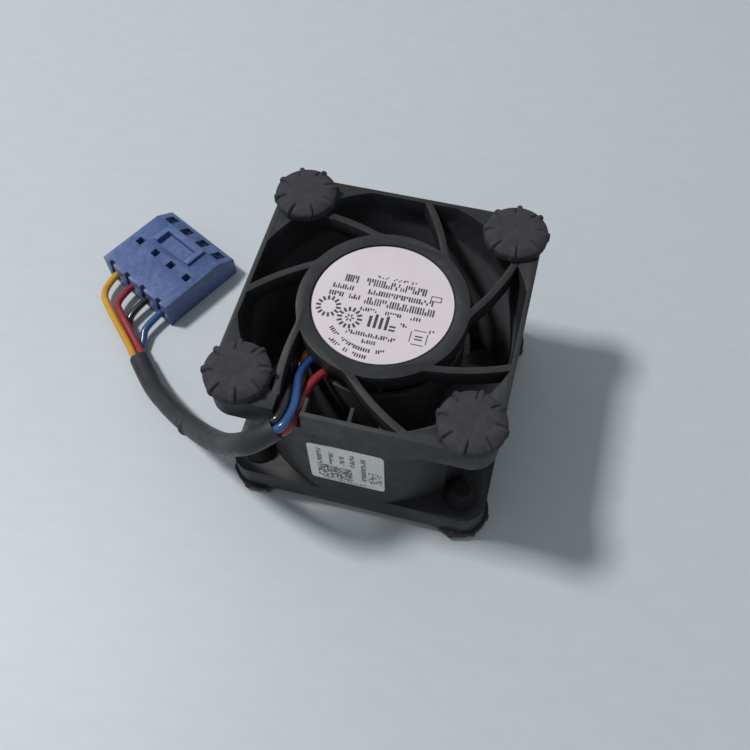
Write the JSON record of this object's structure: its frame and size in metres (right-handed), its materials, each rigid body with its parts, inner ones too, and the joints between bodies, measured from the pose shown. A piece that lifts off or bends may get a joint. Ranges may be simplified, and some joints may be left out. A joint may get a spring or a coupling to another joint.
{
  "type": "server fan module",
  "caption": "Square axial fan with curved outlet struts, ball-bearing motor, rubber isolators in both flanges and a short sleeved four-wire lead with a plug.",
  "frame": {"origin": "on the fan's axis, at the ground under the lower isolator heads", "axes": "+Z along the fan's axis to the outlet side, -Y to the front wall that the lead leaves over, +X to the right"},
  "size_m": [0.0772, 0.0533, 0.032],
  "materials": {
    "frame_plastic": "satin",
    "impeller_plastic": "satin",
    "isolator_rubber": "matte",
    "turned_brass": "turned",
    "bearing_steel": "ground",
    "cup_steel": "drawn",
    "magnet": "matte",
    "core_steel": "laminated",
    "insulator_plastic": "satin",
    "enamelled_copper": "wound",
    "board_laminate": "lacquered",
    "chip_plastic": "matte",
    "capacitor_ceramic": "matte",
    "tinned_metal": "tinned",
    "hub_label_paper": "satin",
    "side_label_film": "satin",
    "plug_plastic": "satin",
    "sleeve_plastic": "satin",
    "yellow_wire_plastic": "satin",
    "red_wire_plastic": "satin",
    "black_wire_plastic": "satin",
    "blue_wire_plastic": "satin"
  },
  "bodies": {
    "stator": {"back_coil": "enamelled_copper", "bearing_tube": "turned_brass", "board_capacitors": "capacitor_ceramic", "circuit_board": "board_laminate", "driver_chip": "chip_plastic", "frame": "frame_plastic", "front_coil": "enamelled_copper", "hall_sensor": "chip_plastic", "hub_label": "hub_label_paper", "inner_black_wire": "black_wire_plastic", "inner_blue_wire": "blue_wire_plastic", "inner_red_wire": "red_wire_plastic", "inner_yellow_wire": "yellow_wire_plastic", "lead_sleeve": "sleeve_plastic", "left_coil": "enamelled_copper", "lower_bearing_outer_ring": "bearing_steel", "lower_insulator": "insulator_plastic", "lower_isolator_back_left": "isolator_rubber", "lower_isolator_back_right": "isolator_rubber", "lower_isolator_front_left": "isolator_rubber", "lower_isolator_front_right": "isolator_rubber", "plug_black_wire": "black_wire_plastic", "plug_blue_wire": "blue_wire_plastic", "plug_contacts": "tinned_metal", "plug_housing": "plug_plastic", "plug_red_wire": "red_wire_plastic", "plug_yellow_wire": "yellow_wire_plastic", "right_coil": "enamelled_copper", "side_label": "side_label_film", "stator_core": "core_steel", "upper_bearing_outer_ring": "bearing_steel", "upper_insulator": "insulator_plastic", "upper_isolator_back_left": "isolator_rubber", "upper_isolator_back_right": "isolator_rubber", "upper_isolator_front_left": "isolator_rubber", "upper_isolator_front_right": "isolator_rubber", "winding_pins": "tinned_metal"},
    "rotor": {"impeller": "impeller_plastic", "rotor_cup": "cup_steel", "ring_magnet": "magnet", "rotor_bush": "turned_brass", "shaft": "bearing_steel", "retaining_ring": "bearing_steel", "preload_spring": "bearing_steel", "lower_bearing_inner_ring": "bearing_steel", "upper_bearing_inner_ring": "bearing_steel"},
    "lower_balls": {"lower_bearing_balls": "bearing_steel"},
    "upper_balls": {"upper_bearing_balls": "bearing_steel"}
  },
  "joints": [
    {"name": "impeller_spin", "type": "hinge", "parent": "stator", "child": "rotor", "pos_m": [0, 0, 0.012], "axis": [0, 0, 1], "continuous": true},
    {"name": "lower_balls_orbit", "type": "hinge", "parent": "stator", "child": "lower_balls", "pos_m": [0, 0, 0.0105], "axis": [0, 0, 1], "continuous": true},
    {"name": "upper_balls_orbit", "type": "hinge", "parent": "stator", "child": "upper_balls", "pos_m": [0, 0, 0.0235], "axis": [0, 0, 1], "continuous": true}
  ],
  "couplings": [
    {"joint": "lower_balls_orbit", "follows": "impeller_spin", "ratio": 0.38},
    {"joint": "upper_balls_orbit", "follows": "impeller_spin", "ratio": 0.38}
  ]
}
